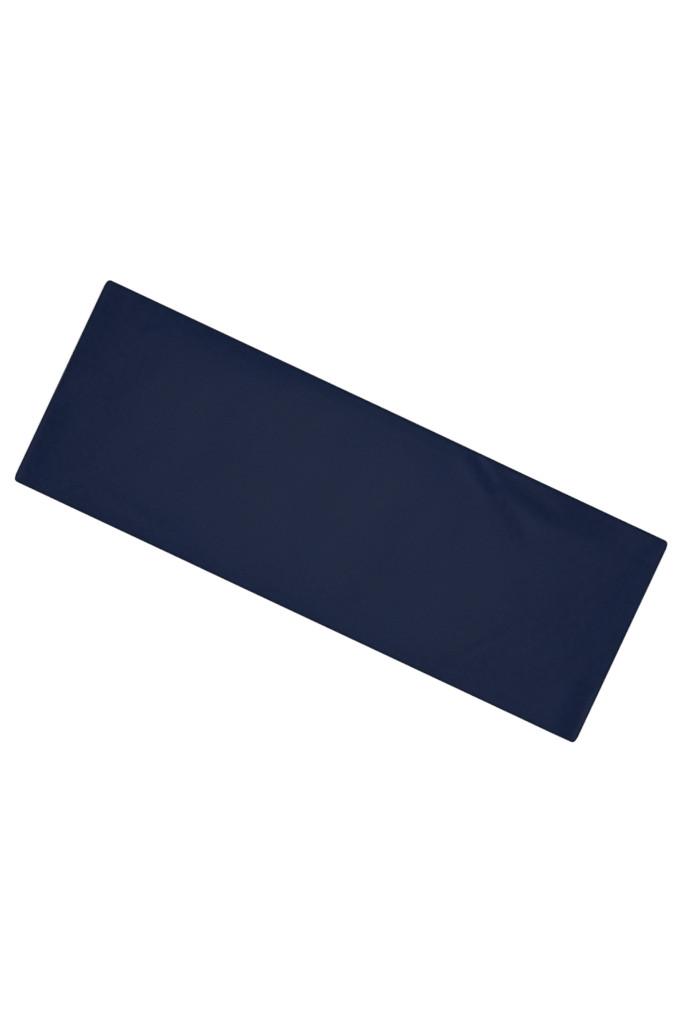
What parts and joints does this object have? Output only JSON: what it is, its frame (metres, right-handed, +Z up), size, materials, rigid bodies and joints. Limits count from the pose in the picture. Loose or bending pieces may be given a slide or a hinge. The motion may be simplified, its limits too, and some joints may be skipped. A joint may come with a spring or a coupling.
{
  "type": "sports headband",
  "caption": "Wide, smooth sports headband: a closed loop of double stretch jersey, pressed flat with a fold at each end, that opens into a ring.",
  "frame": {"origin": "centre of the flat band's underside, on the closing seam's line, on the surface that the band lies on", "axes": "+X along the band's length, towards the right end fold; +Y across the band's width, along the loop's axis; +Z up, from the back side to the front side"},
  "size_m": [0.23, 0.0826, 0.0044],
  "materials": {
    "shell_jersey": "navy polyester and elastane jersey, matt with a faint sheen, fine knit",
    "lining_jersey": "navy polyester and elastane jersey, brushed, fine knit",
    "seam_allowance": "turned-in navy jersey with its overlock thread",
    "thread": "navy polyester sewing thread, slightly glossy",
    "label_tape": "blank off-white satin tape"
  },
  "bodies": {
    "back_seam_right": {"shell_back_seam_right": "shell_jersey", "lining_back_seam_right": "lining_jersey", "edge_seams_back_seam_right": "seam_allowance", "closing_allowance_shell": "shell_jersey", "closing_allowance_lining": "lining_jersey", "closing_seam_stitches": "thread", "closing_seam_overlock": "thread", "allowance_bar_tacks": "thread"},
    "back_5": {"shell_back_5": "shell_jersey", "lining_back_5": "lining_jersey", "edge_seams_back_5": "seam_allowance"},
    "back_6": {"shell_back_6": "shell_jersey", "lining_back_6": "lining_jersey", "edge_seams_back_6": "seam_allowance"},
    "back_7": {"shell_back_7": "shell_jersey", "lining_back_7": "lining_jersey", "edge_seams_back_7": "seam_allowance", "shell_right_fold": "shell_jersey", "lining_right_fold": "lining_jersey", "edge_seams_right_fold": "seam_allowance"},
    "front_7": {"shell_front_7": "shell_jersey", "lining_front_7": "lining_jersey", "edge_seams_front_7": "seam_allowance"},
    "front_6": {"shell_front_6": "shell_jersey", "lining_front_6": "lining_jersey", "edge_seams_front_6": "seam_allowance"},
    "front_5": {"shell_front_5": "shell_jersey", "lining_front_5": "lining_jersey", "edge_seams_front_5": "seam_allowance"},
    "front_4": {"shell_front_4": "shell_jersey", "lining_front_4": "lining_jersey", "edge_seams_front_4": "seam_allowance"},
    "front_3": {"shell_front_3": "shell_jersey", "lining_front_3": "lining_jersey", "edge_seams_front_3": "seam_allowance"},
    "front_2": {"shell_front_2": "shell_jersey", "lining_front_2": "lining_jersey", "edge_seams_front_2": "seam_allowance"},
    "front_1": {"shell_front_1": "shell_jersey", "lining_front_1": "lining_jersey", "edge_seams_front_1": "seam_allowance", "shell_left_fold": "shell_jersey", "lining_left_fold": "lining_jersey", "edge_seams_left_fold": "seam_allowance"},
    "back_1": {"shell_back_1": "shell_jersey", "lining_back_1": "lining_jersey", "edge_seams_back_1": "seam_allowance"},
    "back_2": {"shell_back_2": "shell_jersey", "lining_back_2": "lining_jersey", "edge_seams_back_2": "seam_allowance"},
    "back_3": {"shell_back_3": "shell_jersey", "lining_back_3": "lining_jersey", "edge_seams_back_3": "seam_allowance"},
    "back_seam_left": {"shell_back_seam_left": "shell_jersey", "lining_back_seam_left": "lining_jersey", "edge_seams_back_seam_left": "seam_allowance", "care_label": "label_tape"}
  },
  "joints": [
    {"name": "bend_back_5", "type": "hinge", "parent": "back_seam_right", "child": "back_5", "pos_m": [0.01611, 0, 0.0006], "axis": [0, -1, 0], "range_deg": [0, 21.67]},
    {"name": "bend_back_6", "type": "hinge", "parent": "back_5", "child": "back_6", "pos_m": [0.04834, 0, 0.0006], "axis": [0, -1, 0], "range_deg": [0, 21.67]},
    {"name": "bend_back_7", "type": "hinge", "parent": "back_6", "child": "back_7", "pos_m": [0.08057, 0, 0.0006], "axis": [0, -1, 0], "range_deg": [0, 21.67]},
    {"name": "right_fold_opening", "type": "hinge", "parent": "back_7", "child": "front_7", "pos_m": [0.1128, 0, 0.0022], "axis": [0, 1, 0], "range_deg": [0, 130], "deforming": ["shell_right_fold", "lining_right_fold", "edge_seams_right_fold"]},
    {"name": "bend_front_6", "type": "hinge", "parent": "front_7", "child": "front_6", "pos_m": [0.08057, 0, 0.0038], "axis": [0, -1, 0], "range_deg": [0, 21.67]},
    {"name": "bend_front_5", "type": "hinge", "parent": "front_6", "child": "front_5", "pos_m": [0.04834, 0, 0.0038], "axis": [0, -1, 0], "range_deg": [0, 21.67]},
    {"name": "bend_front_4", "type": "hinge", "parent": "front_5", "child": "front_4", "pos_m": [0.01611, 0, 0.0038], "axis": [0, -1, 0], "range_deg": [0, 21.67]},
    {"name": "bend_front_3", "type": "hinge", "parent": "front_4", "child": "front_3", "pos_m": [-0.01611, 0, 0.0038], "axis": [0, -1, 0], "range_deg": [0, 21.67]},
    {"name": "bend_front_2", "type": "hinge", "parent": "front_3", "child": "front_2", "pos_m": [-0.04834, 0, 0.0038], "axis": [0, -1, 0], "range_deg": [0, 21.67]},
    {"name": "bend_front_1", "type": "hinge", "parent": "front_2", "child": "front_1", "pos_m": [-0.08057, 0, 0.0038], "axis": [0, -1, 0], "range_deg": [0, 21.67]},
    {"name": "left_fold_opening", "type": "hinge", "parent": "front_1", "child": "back_1", "pos_m": [-0.1128, 0, 0.0022], "axis": [0, 1, 0], "range_deg": [0, 130], "deforming": ["shell_left_fold", "lining_left_fold", "edge_seams_left_fold"]},
    {"name": "bend_back_2", "type": "hinge", "parent": "back_1", "child": "back_2", "pos_m": [-0.08057, 0, 0.0006], "axis": [0, -1, 0], "range_deg": [0, 21.67]},
    {"name": "bend_back_3", "type": "hinge", "parent": "back_2", "child": "back_3", "pos_m": [-0.04834, 0, 0.0006], "axis": [0, -1, 0], "range_deg": [0, 21.67]},
    {"name": "bend_back_seam_left", "type": "hinge", "parent": "back_3", "child": "back_seam_left", "pos_m": [-0.01611, 0, 0.0006], "axis": [0, -1, 0], "range_deg": [0, 21.67]}
  ],
  "couplings": [
    {"joint": "bend_back_5", "follows": "right_fold_opening", "ratio": 0.16667},
    {"joint": "bend_back_6", "follows": "right_fold_opening", "ratio": 0.16667},
    {"joint": "bend_back_7", "follows": "right_fold_opening", "ratio": 0.16667},
    {"joint": "bend_front_6", "follows": "right_fold_opening", "ratio": 0.16667},
    {"joint": "bend_front_5", "follows": "right_fold_opening", "ratio": 0.16667},
    {"joint": "bend_front_4", "follows": "right_fold_opening", "ratio": 0.16667},
    {"joint": "bend_front_3", "follows": "right_fold_opening", "ratio": 0.16667},
    {"joint": "bend_front_2", "follows": "right_fold_opening", "ratio": 0.16667},
    {"joint": "bend_front_1", "follows": "right_fold_opening", "ratio": 0.16667},
    {"joint": "left_fold_opening", "follows": "right_fold_opening", "ratio": 1},
    {"joint": "bend_back_2", "follows": "right_fold_opening", "ratio": 0.16667},
    {"joint": "bend_back_3", "follows": "right_fold_opening", "ratio": 0.16667},
    {"joint": "bend_back_seam_left", "follows": "right_fold_opening", "ratio": 0.16667}
  ]
}
